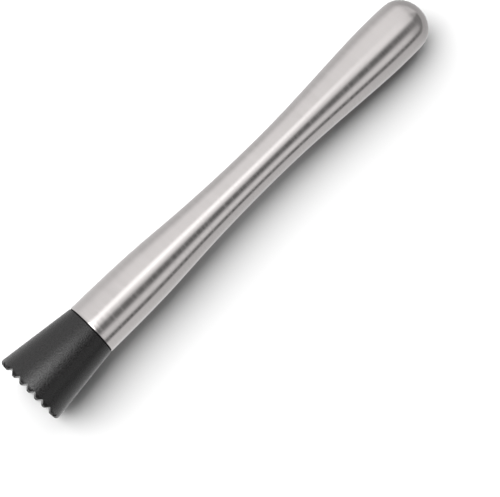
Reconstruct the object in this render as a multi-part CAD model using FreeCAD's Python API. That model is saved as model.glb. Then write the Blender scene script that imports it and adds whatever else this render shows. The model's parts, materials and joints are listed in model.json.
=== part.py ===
import FreeCAD, Part
import os
from math import asin, atan2, cos, degrees, hypot, radians, sin, sqrt, tan

V = FreeCAD.Vector

# A bar muddler: a hollow waisted steel handle with a toothed nylon head that screws on.
# Each piece is drawn about the X axis, tooth crests at x = 0 and the dome towards +X.
# At the end the whole tool is laid down on its side, touching at the head's rim and at
# the handle's bulge. All sizes are in millimetres and degrees.

# --- driving dimensions ---------------------------------------------------------------
# lengths along the axis, from the tooth crests to the dome's tip (254 in all)
head_length = 38.8            # tooth crests to the head's shoulder
seal_thickness = 0.5          # rubber ring between the shoulder and the handle's mouth
front_length = 106.3          # handle's mouth to its waist
rear_length = 86.5            # waist to the widest part of the bulge, where the dome is welded
dome_length = 21.9            # weld to the dome's tip

# outside diameters
mouth_diameter = 26.8         # handle at its mouth, and head at its shoulder
waist_diameter = 19.56
bulge_diameter = 26.4
head_end_diameter = 36.3      # head's cone, taken to the plane of the tooth crests

# handle
tube_wall = 0.9
lip_radius = 0.25             # rounded outer edge of the mouth
nose_length = 11.0            # the dome's rounded nose, blunter than a ball
nose_step = 0.3               # the nose is this much smaller in radius than the bulge
nose_start = 5.0              # degrees past square where the nose begins

# how the outline runs between mouth and waist, and between waist and bulge:
# (share of the length, share of the change in radius)
front_shape = ((0.195, 0.052), (0.385, 0.238), (0.573, 0.594), (0.763, 0.867))
rear_shape = ((0.287, 0.114), (0.517, 0.415), (0.747, 0.763))
mouth_slope = -0.010

# head
rim_radius = 1.8              # rounded outer edge of the toothed end
shoulder_radius = 0.2
spigot_length = 10.0          # part of the head that enters the handle
spigot_clearance = 0.3        # radial, inside the handle's mouth
spigot_chamfer = 0.8
tooth_pitch = 4.75
tooth_depth = 1.6
tooth_flank = 45.0            # degrees from the crest plane
crest_radius = 0.55           # rounded shoulders of each tooth
root_radius = 0.35            # rounded bottom of each groove
tooth_turn = 9.8              # degrees the rows stand off upright when the head is screwed home
rim_width = 3.0               # no groove has its middle closer to the rim than this

# seal ring
seal_recess = 0.35            # radial, below the handle's outside
seal_clearance = 0.08         # radial, over the spigot

# M8 x 35 hexagon bolt moulded into the head
thread_diameter = 7.9
thread_pitch = 1.25
thread_length = 22.0
thread_depth_per_pitch = 0.6134    # metric 60 degree thread
thread_half_angle = 30.0
bolt_length = 35.0
bolt_head_height = 5.3
bolt_across_flats = 13.0
bolt_end_chamfer = 0.8
hexagon_land = 0.95           # flat left on a hexagon's end, as a share of the across-flats
hexagon_chamfer_angle = 30.0

# bulkhead and weld nut inside the handle
bulkhead_gap = 1.5            # end of the spigot to the bulkhead
bulkhead_thickness = 1.5
bulkhead_flange = 6.0         # length of the bulkhead's turned rim
bulkhead_bend = 2.0           # outer radius of the turned rim's bend
nut_across_flats = 14.0
nut_height = 6.5
nut_pilot_diameter = 10.5     # collar of the nut that sits in the bulkhead's hole
nut_pilot_length = 1.2
nut_pilot_clearance = 0.1     # radial
nut_bore_clearance = 0.05     # radial, over the bolt's thread
bolt_grip = 1.2               # how far the bolt stands out past the nut

# not sizes of the tool: how far cutters run past what they cut, how close an edge must
# lie to be picked, and how finely outlines are drawn and tried against the ground
cutter_margin = 1.0
thread_cutter_margin = 0.1
pick_tolerance = 0.01
outline_tries = 400
nose_points = 17              # points that the nose's outline is drawn through

# --- places along the axis ------------------------------------------------------------
shoulder_x = head_length
mouth_x = shoulder_x + seal_thickness
waist_x = mouth_x + front_length
weld_x = waist_x + rear_length
tip_x = weld_x + dome_length
spigot_end_x = shoulder_x + spigot_length
bulkhead_x = spigot_end_x + bulkhead_gap
nut_seat_x = bulkhead_x + bulkhead_thickness
bolt_end_x = nut_seat_x + nut_height + bolt_grip
bolt_seat_x = bolt_end_x - bolt_length      # under the bolt's head

mouth_r = mouth_diameter / 2
waist_r = waist_diameter / 2
bulge_r = bulge_diameter / 2
spigot_r = mouth_r - tube_wall - spigot_clearance


# --- drawing helpers ------------------------------------------------------------------
def line(a, b):
    return Part.LineSegment(V(*a), V(*b)).toShape()


def arc(a, middle, b):
    return Part.Arc(V(*a), V(*middle), V(*b)).toShape()


def on_circle(centre, radius, angle):
    """Point of the XY plane at an angle in degrees from +X."""
    return (centre[0] + radius * cos(radians(angle)), centre[1] + radius * sin(radians(angle)), 0)


def arc_about(centre, radius, start, end):
    """Arc between two angles in degrees about a centre."""
    return arc(*(on_circle(centre, radius, a) for a in (start, (start + end) / 2, end)))


def smooth(points, start, end):
    """Smooth curve through points, with the direction of each end given as (x, y)."""
    curve = Part.BSplineCurve()
    curve.interpolate(
        Points=[V(*p) for p in points],
        InitialTangent=V(*start, 0).normalize(),
        FinalTangent=V(*end, 0).normalize(),
    )
    return curve.toShape()


def turned(edges):
    """Solid turned about the X axis from a closed half-section."""
    wire = Part.Wire(Part.__sortEdges__(edges))
    return Part.Face(wire).revolve(V(0, 0, 0), V(1, 0, 0), 360)


def rod(x_start, x_end, radius):
    return Part.makeCylinder(radius, x_end - x_start, V(x_start, 0, 0), V(1, 0, 0))


def hexagon(x_start, x_end, across_flats):
    """Hexagonal prism along X, the corners of its end turned off."""
    corner_r = across_flats / sqrt(3)
    ring = [V(x_start, *on_circle((0, 0), corner_r, 60 * i)[:2]) for i in range(7)]
    prism = Part.Face(Part.makePolygon(ring)).extrude(V(x_end - x_start, 0, 0))
    end_r = hexagon_land * across_flats / 2
    length = abs(x_end - x_start)
    start_r = end_r + length / tan(radians(hexagon_chamfer_angle))
    cone = Part.makeCone(start_r, end_r, length, V(x_start, 0, 0), V(x_end - x_start, 0, 0))
    return prism.common(cone)


def thread_groove(x_start, length, diameter, pitch):
    """Helical cutter for a thread of metric depth."""
    outer_r = diameter / 2
    depth = thread_depth_per_pitch * pitch
    half_root = pitch / 8
    proud = thread_cutter_margin
    half_mouth = half_root + (depth + proud) * tan(radians(thread_half_angle))
    section = Part.makePolygon([
        V(outer_r + proud, 0, -half_mouth),
        V(outer_r - depth, 0, -half_root),
        V(outer_r - depth, 0, half_root),
        V(outer_r + proud, 0, half_mouth),
        V(outer_r + proud, 0, -half_mouth),
    ])
    helix = Part.makeLongHelix(pitch, length, outer_r, 0)
    cutter = Part.Wire(helix).makePipeShell([section], True, True)
    cutter.rotate(V(0, 0, 0), V(0, 1, 0), 90)
    cutter.translate(V(x_start, 0, 0))
    return cutter


# --- handle ---------------------------------------------------------------------------
def handle_curve(inset):
    """Outline of the handle from mouth to weld, moved in by inset."""
    narrowing = waist_r - mouth_r
    widening = bulge_r - waist_r
    stations = [(mouth_x, mouth_r)]
    stations += [(mouth_x + x * front_length, mouth_r + r * narrowing) for x, r in front_shape]
    stations.append((waist_x, waist_r))
    stations += [(waist_x + x * rear_length, waist_r + r * widening) for x, r in rear_shape]
    stations.append((weld_x, bulge_r))
    return smooth([(x, r - inset, 0) for x, r in stations], (1, mouth_slope), (1, 0))


def make_handle_tube():
    """Drawn steel tube, formed to the waisted shape, open at both ends."""
    outer = handle_curve(0)
    inner = handle_curve(tube_wall)
    mouth = line((mouth_x, mouth_r - tube_wall, 0), (mouth_x, mouth_r, 0))
    weld = line((weld_x, bulge_r - tube_wall, 0), (weld_x, bulge_r, 0))
    tube = turned([outer, weld, inner, mouth])
    lip = [e for e in tube.Edges if e.BoundBox.XMax < mouth_x + pick_tolerance
           and e.BoundBox.YMax > mouth_r - pick_tolerance and len(e.Vertexes) == 1]
    return tube.makeFillet(lip_radius, lip)


def dome_outline(inset):
    """Outline of the dome, moved in by inset: from the weld a short run-in, then an oval nose."""
    centre_x = tip_x - nose_length
    across = bulge_r - nose_step - inset
    along = nose_length - inset
    step = (90 - nose_start) / nose_points
    angles = [radians(nose_start + step * i) for i in range(nose_points)]
    oval = [(centre_x + along * sin(a), across * cos(a), 0) for a in angles]
    leaving = (along * cos(angles[0]), -across * sin(angles[0]))
    run_in = smooth([(weld_x, bulge_r - inset, 0), oval[0]], (1, 0), leaving)
    nose = smooth(oval + [(centre_x + along, 0, 0)], leaving, (0, -1))
    return [run_in, nose]


def make_end_dome():
    """Deep-drawn steel cap, welded to the tube at the bulge and polished flush."""
    weld = line((weld_x, bulge_r - tube_wall, 0), (weld_x, bulge_r, 0))
    tip = line((tip_x - tube_wall, 0, 0), (tip_x, 0, 0))
    return turned(dome_outline(0) + dome_outline(tube_wall) + [weld, tip])


def tube_bore():
    """The space inside the tube, as a solid."""
    return turned([
        handle_curve(tube_wall),
        line((weld_x, bulge_r - tube_wall, 0), (weld_x, 0, 0)),
        line((weld_x, 0, 0), (mouth_x, 0, 0)),
        line((mouth_x, 0, 0), (mouth_x, mouth_r - tube_wall, 0)),
    ])


def make_bulkhead():
    """Pressed steel cup welded across the tube, its turned rim against the wall."""
    end_x = bulkhead_x + bulkhead_flange
    cup = rod(bulkhead_x, end_x, mouth_r).common(tube_bore())
    face_edge = [e for e in cup.Edges if e.BoundBox.XMax < bulkhead_x + pick_tolerance]
    cup = cup.makeFillet(bulkhead_bend, face_edge)
    rim_r = cup.BoundBox.YMax - bulkhead_thickness
    hollow = rod(nut_seat_x, end_x + cutter_margin, rim_r)
    inside_edge = [e for e in hollow.Edges if e.BoundBox.XMax < nut_seat_x + pick_tolerance]
    hollow = hollow.makeFillet(bulkhead_bend - bulkhead_thickness, inside_edge)
    hole_r = nut_pilot_diameter / 2 + nut_pilot_clearance
    hole = rod(bulkhead_x - cutter_margin, nut_seat_x + cutter_margin, hole_r)
    return cup.cut(hollow).cut(hole)


def make_weld_nut():
    """M8 hexagon weld nut, its pilot collar in the bulkhead's hole."""
    nut_end_x = nut_seat_x + nut_height
    nut = hexagon(nut_seat_x, nut_end_x, nut_across_flats)
    pilot_x = nut_seat_x - nut_pilot_length
    nut = nut.fuse(rod(pilot_x, nut_seat_x, nut_pilot_diameter / 2))
    bore_r = thread_diameter / 2 + nut_bore_clearance
    return nut.cut(rod(pilot_x - cutter_margin, nut_end_x + cutter_margin, bore_r)).removeSplitter()


# --- head -----------------------------------------------------------------------------
def rim_centre():
    """Centre of the rounding between the crest plane and the head's cone."""
    taper = (head_end_diameter - mouth_diameter) / 2 / head_length
    lean = atan2(taper, 1)
    return (rim_radius, head_end_diameter / 2 - rim_radius * taper - rim_radius / cos(lean)), degrees(lean)


def head_blank():
    """The head before its teeth are cut: spigot, shoulder, cone and rounded rim."""
    centre, lean = rim_centre()
    cone_start = on_circle(centre, rim_radius, 90 - lean)
    rim = arc_about(centre, rim_radius, 90 - lean, 180)
    chamfer_x = spigot_end_x - spigot_chamfer
    return turned([
        line((0, 0, 0), (0, centre[1], 0)),
        rim,
        line(cone_start, (shoulder_x, mouth_r, 0)),
        line((shoulder_x, mouth_r, 0), (shoulder_x, spigot_r, 0)),
        line((shoulder_x, spigot_r, 0), (chamfer_x, spigot_r, 0)),
        line((chamfer_x, spigot_r, 0), (spigot_end_x, spigot_r - spigot_chamfer, 0)),
        line((spigot_end_x, spigot_r - spigot_chamfer, 0), (spigot_end_x, 0, 0)),
        line((spigot_end_x, 0, 0), (0, 0, 0)),
    ])


def groove_section():
    """Points of one side of a groove between two rows of teeth: crest, flank and root."""
    flank = radians(tooth_flank)
    root_centre_x = tooth_depth - root_radius
    root_end = (root_centre_x + root_radius * cos(flank), root_radius * sin(flank))
    crest_drop = crest_radius * (1 - cos(flank))
    run = (root_end[0] - crest_drop) / tan(flank)
    crest_end = (crest_drop, root_end[1] + run)
    crest_start = (0, crest_end[1] + crest_radius * sin(flank))
    crest_mid = (crest_radius * (1 - cos(flank / 2)), crest_start[1] - crest_radius * sin(flank / 2))
    return crest_start, crest_mid, crest_end, root_end


def groove(offset):
    """Cutter for one groove that runs along Z, its middle at y = offset."""
    crest_start, crest_mid, crest_end, root_end = groove_section()
    clear_of_crests = (-cutter_margin, crest_start[1])
    reach = head_end_diameter

    def at(point, side):
        return (point[0], offset + side * point[1], -reach / 2)

    edges = [
        line(at(clear_of_crests, 1), at(clear_of_crests, -1)),
        arc(at(root_end, 1), at((tooth_depth, 0), 1), at(root_end, -1)),
    ]
    for side in (1, -1):
        edges.append(line(at(clear_of_crests, side), at(crest_start, side)))
        edges.append(arc(at(crest_start, side), at(crest_mid, side), at(crest_end, side)))
        edges.append(line(at(crest_end, side), at(root_end, side)))
    wire = Part.Wire(Part.__sortEdges__(edges))
    return Part.Face(wire).extrude(V(0, 0, reach))


def make_muddler_head(bolt):
    """Injection-moulded nylon head with a square grid of teeth, moulded around the bolt."""
    rows = int((head_end_diameter / 2 - rim_width) / tooth_pitch + 0.5)
    offsets = [(i + 0.5) * tooth_pitch for i in range(-rows, rows)]
    rows_up = [groove(offset).rotated(V(0, 0, 0), V(1, 0, 0), tooth_turn) for offset in offsets]
    rows_across = [g.rotated(V(0, 0, 0), V(1, 0, 0), 90) for g in rows_up]
    head = head_blank().cut(rows_up).cut(rows_across)
    shoulder = [e for e in head.Edges if abs(e.BoundBox.XMin - shoulder_x) < pick_tolerance
                and abs(e.BoundBox.XMax - shoulder_x) < pick_tolerance
                and e.BoundBox.YMax > mouth_r - pick_tolerance]
    return head.makeFillet(shoulder_radius, shoulder).cut(bolt)


def make_seal_ring():
    """Flat black rubber ring that sits on the spigot between the head and the handle."""
    ring = rod(shoulder_x, mouth_x, mouth_r - seal_recess)
    return ring.cut(rod(shoulder_x, mouth_x, spigot_r + seal_clearance))


def make_head_bolt():
    """Hexagon bolt held in the nylon by its own head, with a helical thread."""
    bolt_head = hexagon(bolt_seat_x, bolt_seat_x - bolt_head_height, bolt_across_flats)
    shank = rod(bolt_seat_x, bolt_end_x, thread_diameter / 2)
    end_edge = [e for e in shank.Edges if e.BoundBox.XMin > bolt_end_x - pick_tolerance]
    shank = shank.makeChamfer(bolt_end_chamfer, end_edge)
    groove_x = bolt_end_x - thread_length
    cutter = thread_groove(groove_x, thread_length + 2 * thread_pitch, thread_diameter, thread_pitch)
    return bolt_head.fuse(shank.cut(cutter))


def resting_tilt():
    """Angle in degrees by which the axis leans when rim and bulge both touch the ground."""
    centre, _ = rim_centre()
    tilts = []
    for edge in [handle_curve(0)] + dome_outline(0):
        for p in edge.discretize(outline_tries):
            across, along = p.y - centre[1], p.x - centre[0]
            tilts.append(asin(rim_radius / hypot(along, across)) - atan2(across, along))
    return degrees(min(tilts))


# --- the whole tool -------------------------------------------------------------------
head_bolt = make_head_bolt()
pieces = {
    "handle_tube": make_handle_tube(),
    "end_dome": make_end_dome(),
    "bulkhead": make_bulkhead(),
    "weld_nut": make_weld_nut(),
    "seal_ring": make_seal_ring(),
    "head_bolt": head_bolt,
    "muddler_head": make_muddler_head(head_bolt),
}

tilt = resting_tilt()
for shape in pieces.values():
    shape.rotate(V(0, 0, 0), V(0, 1, 0), tilt)
box = Part.makeCompound(list(pieces.values())).optimalBoundingBox(False)
move = V(-(box.XMin + box.XMax) / 2, 0, -box.ZMin)

os.makedirs("parts", exist_ok=True)
for name, shape in pieces.items():
    shape.translate(move)
    shape.exportStep("parts/" + name + ".step")
    print(name, shape.ShapeType, len(shape.Solids), "solid", round(shape.Volume / 1000, 3), "cm3",
          "valid" if shape.isValid() else "INVALID")
axis = V(-cos(radians(tilt)), 0, sin(radians(tilt)))
print("tilt", round(tilt, 4))
print("crest centre", [round(c, 4) for c in move], "outward axis", [round(c, 7) for c in axis])
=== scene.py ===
import json
from math import atan2, cos, pi, radians, sin, tan

import bmesh
import bpy
import numpy as np
from mathutils import Matrix, Vector


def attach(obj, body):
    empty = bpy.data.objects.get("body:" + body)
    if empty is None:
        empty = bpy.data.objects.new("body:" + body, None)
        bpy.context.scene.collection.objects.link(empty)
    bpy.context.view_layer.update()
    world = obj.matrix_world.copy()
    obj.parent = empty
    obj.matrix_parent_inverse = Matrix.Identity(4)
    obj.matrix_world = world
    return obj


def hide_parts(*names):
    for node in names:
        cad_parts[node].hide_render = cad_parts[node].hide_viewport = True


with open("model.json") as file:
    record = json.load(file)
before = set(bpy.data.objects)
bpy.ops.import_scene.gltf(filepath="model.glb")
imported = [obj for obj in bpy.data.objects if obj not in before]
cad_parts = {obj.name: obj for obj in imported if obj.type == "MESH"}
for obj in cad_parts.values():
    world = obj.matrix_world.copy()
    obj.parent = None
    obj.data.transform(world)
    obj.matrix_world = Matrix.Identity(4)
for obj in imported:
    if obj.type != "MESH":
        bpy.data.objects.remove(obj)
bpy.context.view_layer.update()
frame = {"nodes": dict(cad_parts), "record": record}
MM = 0.001


# --- the tool's own frame ---------------------------------------------------------------
# The toothed face is a mount of the record: its centre is the origin of the tool's axis,
# and its outward direction points away from the handle.

tooth_face = next(m for m in frame["record"]["mounts"] if m["name"] == "tooth_face")
crest_centre = Vector(tooth_face["pos_m"])
to_dome = -Vector(tooth_face["axis"]).normalized()
lean = atan2(-to_dome.z, to_dome.x)
tool_to_world = Matrix.Translation(crest_centre) @ Matrix.Rotation(lean, 4, "Y")

# sizes of the turned pieces in millimetres, as the design gives them
head_length = 38.8
seal_thickness = 0.5
front_length = 106.3
rear_length = 86.5
dome_length = 21.9
mouth_r = 13.4
waist_r = 9.78
bulge_r = 13.2
tube_wall = 0.9
lip_radius = 0.25
nose_length = 11.0
nose_step = 0.3
nose_start = 5.0
front_shape = ((0.195, 0.052), (0.385, 0.238), (0.573, 0.594), (0.763, 0.867))
rear_shape = ((0.287, 0.114), (0.517, 0.415), (0.747, 0.763))
mouth_slope = -0.010
spigot_r = mouth_r - tube_wall - 0.3
seal_recess = 0.35
seal_clearance = 0.08

mouth_x = head_length + seal_thickness
waist_x = mouth_x + front_length
weld_x = waist_x + rear_length
tip_x = weld_x + dome_length
turn_steps = 168

key_strength = 4.6
wall_direction = (-0.04, 0.999, 0.0)
# share of the light that comes from each part of the way round, from beyond the teeth to beyond the dome
key_along = ((0.0, 0.2), (0.22, 1.0), (0.45, 0.85), (0.7, 0.42), (1.0, 0.4))


# --- turned shapes ----------------------------------------------------------------------
def smooth_curve(points, start_slope, end_slope, spacing):
    """Smooth line through (x, r) points with the slope of both ends given, as close points."""
    xs, rs = np.array(points, float).T
    gaps = np.diff(xs)
    rows = np.diag(np.r_[2 * gaps[0], 2 * (gaps[:-1] + gaps[1:]), 2 * gaps[-1]])
    rows += np.diag(gaps, 1) + np.diag(gaps, -1)
    slopes = np.r_[start_slope, np.diff(rs) / gaps, end_slope]
    bend = np.linalg.solve(rows, 6 * np.diff(slopes))
    line = []
    for i, gap in enumerate(gaps):
        for along in np.linspace(0, gap, max(2, round(gap / spacing)), endpoint=False):
            left = gap - along
            curve = (bend[i] * left ** 3 + bend[i + 1] * along ** 3) / (6 * gap)
            near_end = (rs[i] / gap - bend[i] * gap / 6) * left
            far_end = (rs[i + 1] / gap - bend[i + 1] * gap / 6) * along
            flat = near_end + far_end
            line.append((xs[i] + along, curve + flat))
    return line + [(xs[-1], rs[-1])]


def arc(centre, radius, start, end, steps):
    """Points of an arc between two angles in degrees, about a centre."""
    angles = [radians(start + (end - start) * i / steps) for i in range(steps + 1)]
    return [(centre[0] + radius * cos(a), centre[1] + radius * sin(a)) for a in angles]


def turned(name, outline, closed=True):
    """A piece turned about the tool's axis from its half-section, in place in the part."""
    mesh = bpy.data.meshes.new(name)
    bm = bmesh.new()
    verts = [bm.verts.new((x * MM, 0, max(r, 0) * MM)) for x, r in outline]
    edges = [bm.edges.new(pair) for pair in zip(verts, verts[1:])]
    if closed:
        edges.append(bm.edges.new((verts[-1], verts[0])))
    bmesh.ops.spin(bm, geom=verts + edges, cent=(0, 0, 0), axis=(1, 0, 0), dvec=(0, 0, 0),
                   angle=2 * pi, steps=turn_steps, use_merge=True)
    bmesh.ops.remove_doubles(bm, verts=bm.verts, dist=0.0005 * MM)
    bmesh.ops.recalc_face_normals(bm, faces=bm.faces)
    bm.to_mesh(mesh)
    bm.free()
    mesh.transform(tool_to_world)
    mesh.shade_smooth()
    mesh.set_sharp_from_angle(angle=radians(40))
    piece = bpy.data.objects.new(name, mesh)
    bpy.context.scene.collection.objects.link(piece)
    return piece


def handle_outline(inset, spacing):
    """Outline of the handle from its mouth over the waist to the weld at the bulge."""
    points = [(mouth_x, mouth_r - inset)]
    for along, across in front_shape:
        points.append((mouth_x + along * front_length, mouth_r + across * (waist_r - mouth_r) - inset))
    points.append((waist_x, waist_r - inset))
    for along, across in rear_shape:
        points.append((waist_x + along * rear_length, waist_r + across * (bulge_r - waist_r) - inset))
    points.append((weld_x, bulge_r - inset))
    return smooth_curve(points, mouth_slope, 0, spacing)


def make_handle_tube():
    outer = handle_outline(0, 1.2)
    inner = handle_outline(tube_wall, 3.0)
    lip = arc((mouth_x + lip_radius, mouth_r - lip_radius), lip_radius, 180, 90, 5)
    past_lip = [p for p in outer if p[0] > mouth_x + 1.5 * lip_radius]
    return turned("handle_tube_brushed", lip + past_lip + inner[::-1])


def dome_outline(inset, steps):
    """Outline of the dome from the weld to its tip: a short run-in and an oval nose."""
    centre_x = tip_x - nose_length
    across = bulge_r - nose_step - inset
    along = nose_length - inset
    angles = [radians(nose_start + (90 - nose_start) * i / steps) for i in range(steps + 1)]
    nose = [(centre_x + along * sin(a), across * cos(a)) for a in angles]
    nose_slope = -across / along * tan(radians(nose_start))
    run_in = smooth_curve([(weld_x, bulge_r - inset), nose[0]], 0, nose_slope, 1.0)
    return run_in[:-1] + nose


def make_end_dome():
    outer = dome_outline(0, 28)
    inner = dome_outline(tube_wall, 14)
    return turned("end_dome_brushed", outer + inner[::-1])


def make_seal_ring():
    outer_r = mouth_r - seal_recess
    round_r = seal_thickness / 2
    edge = arc((head_length + round_r, outer_r - round_r), round_r, 180, 0, 8)
    bore_r = spigot_r + seal_clearance
    return turned("seal_ring_rubber", edge + [(mouth_x, bore_r), (head_length, bore_r)])


# --- materials --------------------------------------------------------------------------
def colour(hex_code):
    """sRGB hex to linear colour."""
    parts = [int(hex_code[i:i + 2], 16) / 255 for i in (1, 3, 5)]
    return [p / 12.92 if p < 0.04045 else ((p + 0.055) / 1.055) ** 2.4 for p in parts] + [1.0]


def add(tree, kind, settings=None, **links):
    """Adds a node, sets its properties and inputs, and links its inputs from other nodes' outputs."""
    node = tree.nodes.new(kind)
    for key, value in (settings or {}).items():
        if key in node.inputs:
            node.inputs[key].default_value = value
        else:
            setattr(node, key, value)
    for key, source in links.items():
        tree.links.new(source, node.inputs[key.replace("_", " ")])
    return node


def new_material(name):
    material = bpy.data.materials.new(name)
    material.use_nodes = True
    tree = material.node_tree
    tree.nodes.clear()
    return material, tree


def finish_material(tree, shader):
    output = tree.nodes.new("ShaderNodeOutputMaterial")
    tree.links.new(shader.outputs[0], output.inputs["Surface"])


def brushed_stainless():
    """304 stainless sheet, drawn and then brushed on a belt while it turns, so that fine lines run around
    it: soft-edged bands of light along the tool, broken by faint lines across them."""
    material, tree = new_material("brushed_stainless")
    place = add(tree, "ShaderNodeTexCoord")
    # lines about 1 mm apart along the axis with finer ones between them, each about 15 mm long around it
    lines = add(tree, "ShaderNodeMapping", {"Rotation": (0, -lean, 0), "Scale": (1 / MM, 65, 65)},
                Vector=place.outputs["Object"])
    brushing = add(tree, "ShaderNodeTexNoise", {"Scale": 1.0, "Detail": 3.0, "Roughness": 0.6},
                   Vector=lines.outputs["Vector"])
    tone = add(tree, "ShaderNodeValToRGB", Fac=brushing.outputs["Fac"])
    tone.color_ramp.elements[0].position = 0.3
    tone.color_ramp.elements[0].color = colour("#BCB8B7")
    tone.color_ramp.elements[1].position = 0.7
    tone.color_ramp.elements[1].color = colour("#C0BCBB")
    gloss = add(tree, "ShaderNodeMapRange", {"From Min": 0.3, "From Max": 0.7, "To Min": 0.11,
                                             "To Max": 0.25}, Value=brushing.outputs["Fac"])
    bump = add(tree, "ShaderNodeBump", {"Strength": 0.25, "Distance": 0.02 * MM},
               Height=brushing.outputs["Fac"])
    shader = add(tree, "ShaderNodeBsdfPrincipled", {"Metallic": 1.0}, Base_Color=tone.outputs["Color"],
                 Roughness=gloss.outputs["Result"], Normal=bump.outputs["Normal"])
    finish_material(tree, shader)
    return material


def moulded_nylon():
    """Black glass-filled nylon 66, injection moulded in a spark-eroded mould: a charcoal skin whose sandy
    grain glitters where the light falls on it."""
    material, tree = new_material("moulded_black_nylon")
    place = add(tree, "ShaderNodeTexCoord")
    # grain of 0.7 mm with finer grain in it
    grain = add(tree, "ShaderNodeTexNoise", {"Scale": 1 / (0.7 * MM), "Detail": 3.0, "Roughness": 0.7},
                Vector=place.outputs["Object"])
    tone = add(tree, "ShaderNodeValToRGB", Fac=grain.outputs["Fac"])
    tone.color_ramp.elements[0].position = 0.35
    tone.color_ramp.elements[0].color = colour("#070607")
    tone.color_ramp.elements[1].position = 0.65
    tone.color_ramp.elements[1].color = colour("#121111")
    gloss = add(tree, "ShaderNodeMapRange", {"From Min": 0.35, "From Max": 0.65, "To Min": 0.16,
                                             "To Max": 0.42}, Value=grain.outputs["Fac"])
    bump = add(tree, "ShaderNodeBump", {"Strength": 1.0, "Distance": 0.14 * MM}, Height=grain.outputs["Fac"])
    shader = add(tree, "ShaderNodeBsdfPrincipled", {"IOR": 1.53, "Specular IOR Level": 0.42},
                 Base_Color=tone.outputs["Color"], Roughness=gloss.outputs["Result"],
                 Normal=bump.outputs["Normal"])
    finish_material(tree, shader)
    return material


def seal_rubber():
    """Black silicone rubber, moulded: dull, with a trace of dust that keeps it from being a hole."""
    material, tree = new_material("black_silicone_rubber")
    place = add(tree, "ShaderNodeTexCoord")
    dust = add(tree, "ShaderNodeTexNoise", {"Scale": 1 / (0.8 * MM), "Detail": 2.0},
               Vector=place.outputs["Object"])
    tone = add(tree, "ShaderNodeValToRGB", Fac=dust.outputs["Fac"])
    tone.color_ramp.elements[0].color = colour("#040404")
    tone.color_ramp.elements[1].color = colour("#0A0A0A")
    settings = {"IOR": 1.43, "Roughness": 0.75, "Specular IOR Level": 0.15}
    shader = add(tree, "ShaderNodeBsdfPrincipled", settings, Base_Color=tone.outputs["Color"])
    finish_material(tree, shader)
    return material


def plain_steel(name, light, dark, grain_mm, rough_low, rough_high):
    """Unpolished steel with a mottled skin, as pressed, rolled or forged."""
    material, tree = new_material(name)
    place = add(tree, "ShaderNodeTexCoord")
    mottle = add(tree, "ShaderNodeTexNoise", {"Scale": 1 / (grain_mm * MM), "Detail": 4.0},
                 Vector=place.outputs["Object"])
    tone = add(tree, "ShaderNodeValToRGB", Fac=mottle.outputs["Fac"])
    tone.color_ramp.elements[0].color = colour(dark)
    tone.color_ramp.elements[1].color = colour(light)
    gloss = add(tree, "ShaderNodeMapRange", {"To Min": rough_low, "To Max": rough_high},
                Value=mottle.outputs["Fac"])
    bump = add(tree, "ShaderNodeBump", {"Strength": 0.2, "Distance": 0.02 * MM}, Height=mottle.outputs["Fac"])
    shader = add(tree, "ShaderNodeBsdfPrincipled", {"Metallic": 1.0}, Base_Color=tone.outputs["Color"],
                 Roughness=gloss.outputs["Result"], Normal=bump.outputs["Normal"])
    finish_material(tree, shader)
    return material


def give(piece, material):
    piece.data.materials.clear()
    piece.data.materials.append(material)


# --- camera and studio ------------------------------------------------------------------
def add_camera():
    """Long lens, tipped a little from straight down, the tool running up to the right."""
    aim = Vector((-0.00803, -0.02213, 0.0))
    distance = 0.8666
    tip = radians(11.58)
    turn = radians(-45.3)
    lens = bpy.data.cameras.new("camera")
    lens.sensor_width = 36.0
    lens.lens = 134.4
    lens.clip_start = 0.05
    camera = bpy.data.objects.new("camera", lens)
    heading = Matrix.Rotation(turn, 4, "Z") @ Matrix.Rotation(tip, 4, "X")
    camera.matrix_world = Matrix.Translation(aim) @ heading @ Matrix.Translation((0, 0, distance))
    bpy.context.scene.collection.objects.link(camera)
    bpy.context.scene.camera = camera


def studio_bands(ceiling, overhead, gap, strip, low_gap, table):
    """Brightness around the tool, by the angle from overhead, with minus on the white wall's side: a soft
    ceiling with a lamp overhead, then a dark gap, a strip light, a second gap low down, and the table."""
    return (
        (-180, table), (-100, table), (-60, ceiling), (-20, ceiling), (0, overhead), (10, overhead),
        (30, gap), (40, gap), (60, strip), (70, strip), (85, low_gap), (90, low_gap), (100, table),
        (180, table),
    )


# the studio seen square to the tool, toward the mouth, toward the domed end, and straight beyond it
bands_beside = studio_bands(ceiling=1.2, overhead=1.4, gap=0.2, strip=1.1, low_gap=0.2, table=0.8)
bands_at_mouth = studio_bands(ceiling=1.0, overhead=0.8, gap=0.3, strip=0.9, low_gap=0.2, table=1.0)
bands_toward_end = studio_bands(ceiling=1.2, overhead=1.2, gap=0.3, strip=0.7, low_gap=0.2, table=0.7)
bands_beyond_end = studio_bands(ceiling=0.9, overhead=0.6, gap=0.3, strip=0.3, low_gap=0.3, table=0.6)
# and straight out from the teeth: dark, under the strip lights
bands_at_teeth = (
    (-180, 0.25), (-95, 0.25), (-60, 0.35), (-28, 0.6), (-14, 2.0), (4, 2.0), (16, 0.4), (45, 0.1), (80, 0.2),
    (95, 0.25), (180, 0.25),
)
ramp_top = 2.0


def add_band_ramp(tree, around, bands):
    ramp = add(tree, "ShaderNodeValToRGB", Fac=around)
    ramp.color_ramp.interpolation = "EASE"
    fill_ramp(ramp.color_ramp, [((a + 180) / 360, v / ramp_top) for a, v in bands])
    return ramp.outputs["Color"]


def blend_by(tree, measure, start, end, first, second):
    """Turns from one colour to another while a measure goes from start to end."""
    part = add(tree, "ShaderNodeMapRange", {"From Min": start, "From Max": end}, Value=measure)
    blend = add(tree, "ShaderNodeMix", {"data_type": "RGBA"}, Factor=part.outputs["Result"])
    tree.links.new(first, blend.inputs[6])
    tree.links.new(second, blend.inputs[7])
    return blend.outputs[2]


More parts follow.
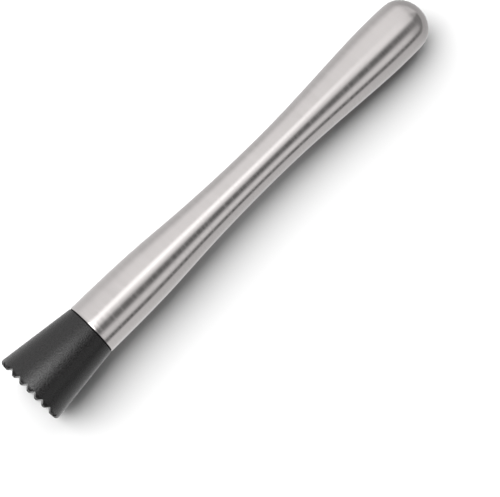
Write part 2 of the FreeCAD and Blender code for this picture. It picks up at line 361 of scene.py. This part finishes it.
def add_studio():
    """White table under a wide soft ceiling, a white wall on one side, dark gaps with a strip light between
    them on the other, and a dark corner beyond the domed end."""
    world = bpy.data.worlds.new("studio")
    bpy.context.scene.world = world
    world.use_nodes = True
    tree = world.node_tree
    tree.nodes.clear()
    place = add(tree, "ShaderNodeTexCoord")
    axes = add(tree, "ShaderNodeSeparateXYZ", Vector=place.outputs["Generated"])
    side = add(tree, "ShaderNodeMath", {"operation": "MULTIPLY"})
    side.inputs[1].default_value = -1.0
    tree.links.new(axes.outputs["Y"], side.inputs[0])
    angle = add(tree, "ShaderNodeMath", {"operation": "ARCTAN2"})
    tree.links.new(side.outputs[0], angle.inputs[0])
    tree.links.new(axes.outputs["Z"], angle.inputs[1])
    around = add(tree, "ShaderNodeMapRange", {"From Min": -pi, "From Max": pi}, Value=angle.outputs[0])
    seen = add_band_ramp(tree, around.outputs["Result"], bands_at_teeth)
    for start, end, bands in ((-0.5, -0.2, bands_at_mouth), (0.0, 0.2, bands_beside),
                              (0.3, 0.4, bands_toward_end), (0.4, 0.8, bands_beyond_end)):
        next_ramp = add_band_ramp(tree, around.outputs["Result"], bands)
        seen = blend_by(tree, axes.outputs["X"], start, end, seen, next_ramp)
    # the table around the tool is in its shadow, so the steel throws little light back onto it
    ray = add(tree, "ShaderNodeLightPath")
    thrown_back = add(tree, "ShaderNodeMapRange", {"To Min": ramp_top, "To Max": 0.32 * ramp_top},
                      Value=ray.outputs["Diffuse Depth"])
    reflected = add(tree, "ShaderNodeBackground", Color=seen, Strength=thrown_back.outputs["Result"])

    # soft light from the wall's side, stronger toward the teeth: the shadow falls on the camera's side and
    # reaches past the dome
    toward_wall = add(tree, "ShaderNodeVectorMath", {"operation": "DOT_PRODUCT"})
    toward_wall.inputs[1].default_value = wall_direction
    tree.links.new(place.outputs["Generated"], toward_wall.inputs[0])
    wall_side = add(tree, "ShaderNodeMapRange", {"interpolation_type": "SMOOTHSTEP", "From Min": -0.06,
                                                 "From Max": 0.06, "To Min": 0.045, "To Max": 1.0},
                    Value=toward_wall.outputs["Value"])
    along = add(tree, "ShaderNodeMapRange", {"From Min": -1.0}, Value=axes.outputs["X"])
    teeth_side = add(tree, "ShaderNodeValToRGB", Fac=along.outputs["Result"])
    fill_ramp(teeth_side.color_ramp, key_along)
    # little of it comes in low, under the waist
    height = add(tree, "ShaderNodeMapRange", {"interpolation_type": "SMOOTHSTEP", "From Min": 0.02,
                                              "From Max": 0.4, "To Min": 0.15}, Value=axes.outputs["Z"])
    key = add(tree, "ShaderNodeMath", {"operation": "MULTIPLY"})
    tree.links.new(wall_side.outputs["Result"], key.inputs[0])
    tree.links.new(teeth_side.outputs["Color"], key.inputs[1])
    lowered = add(tree, "ShaderNodeMath", {"operation": "MULTIPLY"})
    tree.links.new(key.outputs[0], lowered.inputs[0])
    tree.links.new(height.outputs["Result"], lowered.inputs[1])
    lit = add(tree, "ShaderNodeBackground", {"Strength": key_strength}, Color=lowered.outputs[0])
    white = add(tree, "ShaderNodeBackground", {"Color": (1, 1, 1, 1), "Strength": 1.0})
    by_gloss = add(tree, "ShaderNodeMixShader", Fac=ray.outputs["Is Glossy Ray"])
    tree.links.new(lit.outputs[0], by_gloss.inputs[1])
    tree.links.new(reflected.outputs[0], by_gloss.inputs[2])
    by_camera = add(tree, "ShaderNodeMixShader", Fac=ray.outputs["Is Camera Ray"])
    tree.links.new(by_gloss.outputs[0], by_camera.inputs[1])
    tree.links.new(white.outputs[0], by_camera.inputs[2])
    output = add(tree, "ShaderNodeOutputWorld")
    tree.links.new(by_camera.outputs[0], output.inputs["Surface"])


def add_strip_light(name, middle, half_size, soft_end, level):
    """Long soft light over the tool, seen only in its reflections, fading toward its +X end and its sides."""
    mesh = bpy.data.meshes.new(name)
    bm = bmesh.new()
    bmesh.ops.create_grid(bm, x_segments=1, y_segments=1, size=1.0)
    bm.to_mesh(mesh)
    bm.free()
    strip = bpy.data.objects.new(name, mesh)
    bpy.context.scene.collection.objects.link(strip)
    strip.location = middle
    strip.scale = (*half_size, 1.0)
    strip.rotation_euler = (pi, 0, 0)
    for kind in ("visible_camera", "visible_diffuse", "visible_shadow", "visible_transmission"):
        setattr(strip, kind, False)
    material, tree = new_material(name + "_glow")
    place = add(tree, "ShaderNodeTexCoord")
    axes = add(tree, "ShaderNodeSeparateXYZ", Vector=place.outputs["Object"])
    length = add(tree, "ShaderNodeMapRange", {"interpolation_type": "SMOOTHSTEP", "From Min": 1.0,
                                              "From Max": soft_end}, Value=axes.outputs["X"])
    off_middle = add(tree, "ShaderNodeMath", {"operation": "ABSOLUTE"})
    tree.links.new(axes.outputs["Y"], off_middle.inputs[0])
    width = add(tree, "ShaderNodeMapRange", {"interpolation_type": "SMOOTHSTEP", "From Min": 1.0,
                                             "From Max": 0.1, "To Max": level}, Value=off_middle.outputs[0])
    glow = add(tree, "ShaderNodeMath", {"operation": "MULTIPLY"})
    tree.links.new(length.outputs["Result"], glow.inputs[0])
    tree.links.new(width.outputs["Result"], glow.inputs[1])
    emission = add(tree, "ShaderNodeEmission", Strength=glow.outputs[0])
    clear = add(tree, "ShaderNodeBsdfTransparent")
    both = add(tree, "ShaderNodeAddShader")
    tree.links.new(emission.outputs[0], both.inputs[0])
    tree.links.new(clear.outputs[0], both.inputs[1])
    finish_material(tree, both)
    give(strip, material)


def add_fill_light():
    """Small soft light on the camera's side that lifts the shadow beside the head."""
    light = bpy.data.lights.new("fill_light", "AREA")
    light.size = 0.07
    light.energy = 0.012
    lamp = bpy.data.objects.new("fill_light", light)
    bpy.context.scene.collection.objects.link(lamp)
    lamp.location = (-0.085, -0.1, 0.06)
    lamp.rotation_euler = (radians(52), 0, 0)
    lamp.visible_glossy = False


def fill_ramp(ramp, stops):
    while len(ramp.elements) < len(stops):
        ramp.elements.new(0.5)
    for element, (position, value) in zip(ramp.elements, stops):
        element.position = position
        element.color = (value, value, value, 1.0)


def add_table():
    """White table top: the bands seen in the steel come from the studio, so it isn't mirrored itself."""
    mesh = bpy.data.meshes.new("table_top")
    bm = bmesh.new()
    bmesh.ops.create_grid(bm, x_segments=1, y_segments=1, size=4.0)
    bm.to_mesh(mesh)
    bm.free()
    table = bpy.data.objects.new("table_top", mesh)
    bpy.context.scene.collection.objects.link(table)
    material, tree = new_material("white_laminate")
    finish_material(tree, add(tree, "ShaderNodeBsdfDiffuse", {"Color": colour("#E6E6E6")}))
    give(table, material)
    table.visible_glossy = False


# --- the whole scene --------------------------------------------------------------------
add_camera()
add_studio()
# its soft end is above the bulge, so the bright line along the steel fades out before the dome
add_strip_light("strip_light", (-0.25, 0.027, 0.32), (0.42, 0.085), 0.72, 0.85)
# a small one low over the head makes its dull highlight
add_strip_light("head_light", (-0.112, -0.006, 0.12), (0.034, 0.045), 0.6, 4.6)
add_fill_light()
add_table()
bpy.context.scene.view_settings.view_transform = "Standard"

steel = brushed_stainless()
rubber = seal_rubber()
nylon = moulded_nylon()
pressed = plain_steel("pressed_stainless", "#A9A7A4", "#8E8C8A", 2.5, 0.32, 0.45)
rolled = plain_steel("zinc_plated_bolt", "#B4B6B8", "#999B9C", 1.2, 0.25, 0.4)

for make, node, body, slot, material in (
    (make_handle_tube, "handle_tube", "handle", "handle_steel", steel),
    (make_end_dome, "end_dome", "handle", "handle_steel", steel),
    (make_seal_ring, "seal_ring", "seal", "seal_rubber", rubber),
):
    piece = make()
    give(piece, material)
    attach(piece, body)
    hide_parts(node)

for node, material in (
    ("muddler_head", nylon),
    ("bulkhead", pressed),
    ("weld_nut", pressed),
    ("head_bolt", rolled),
):
    give(frame["nodes"][node], material)
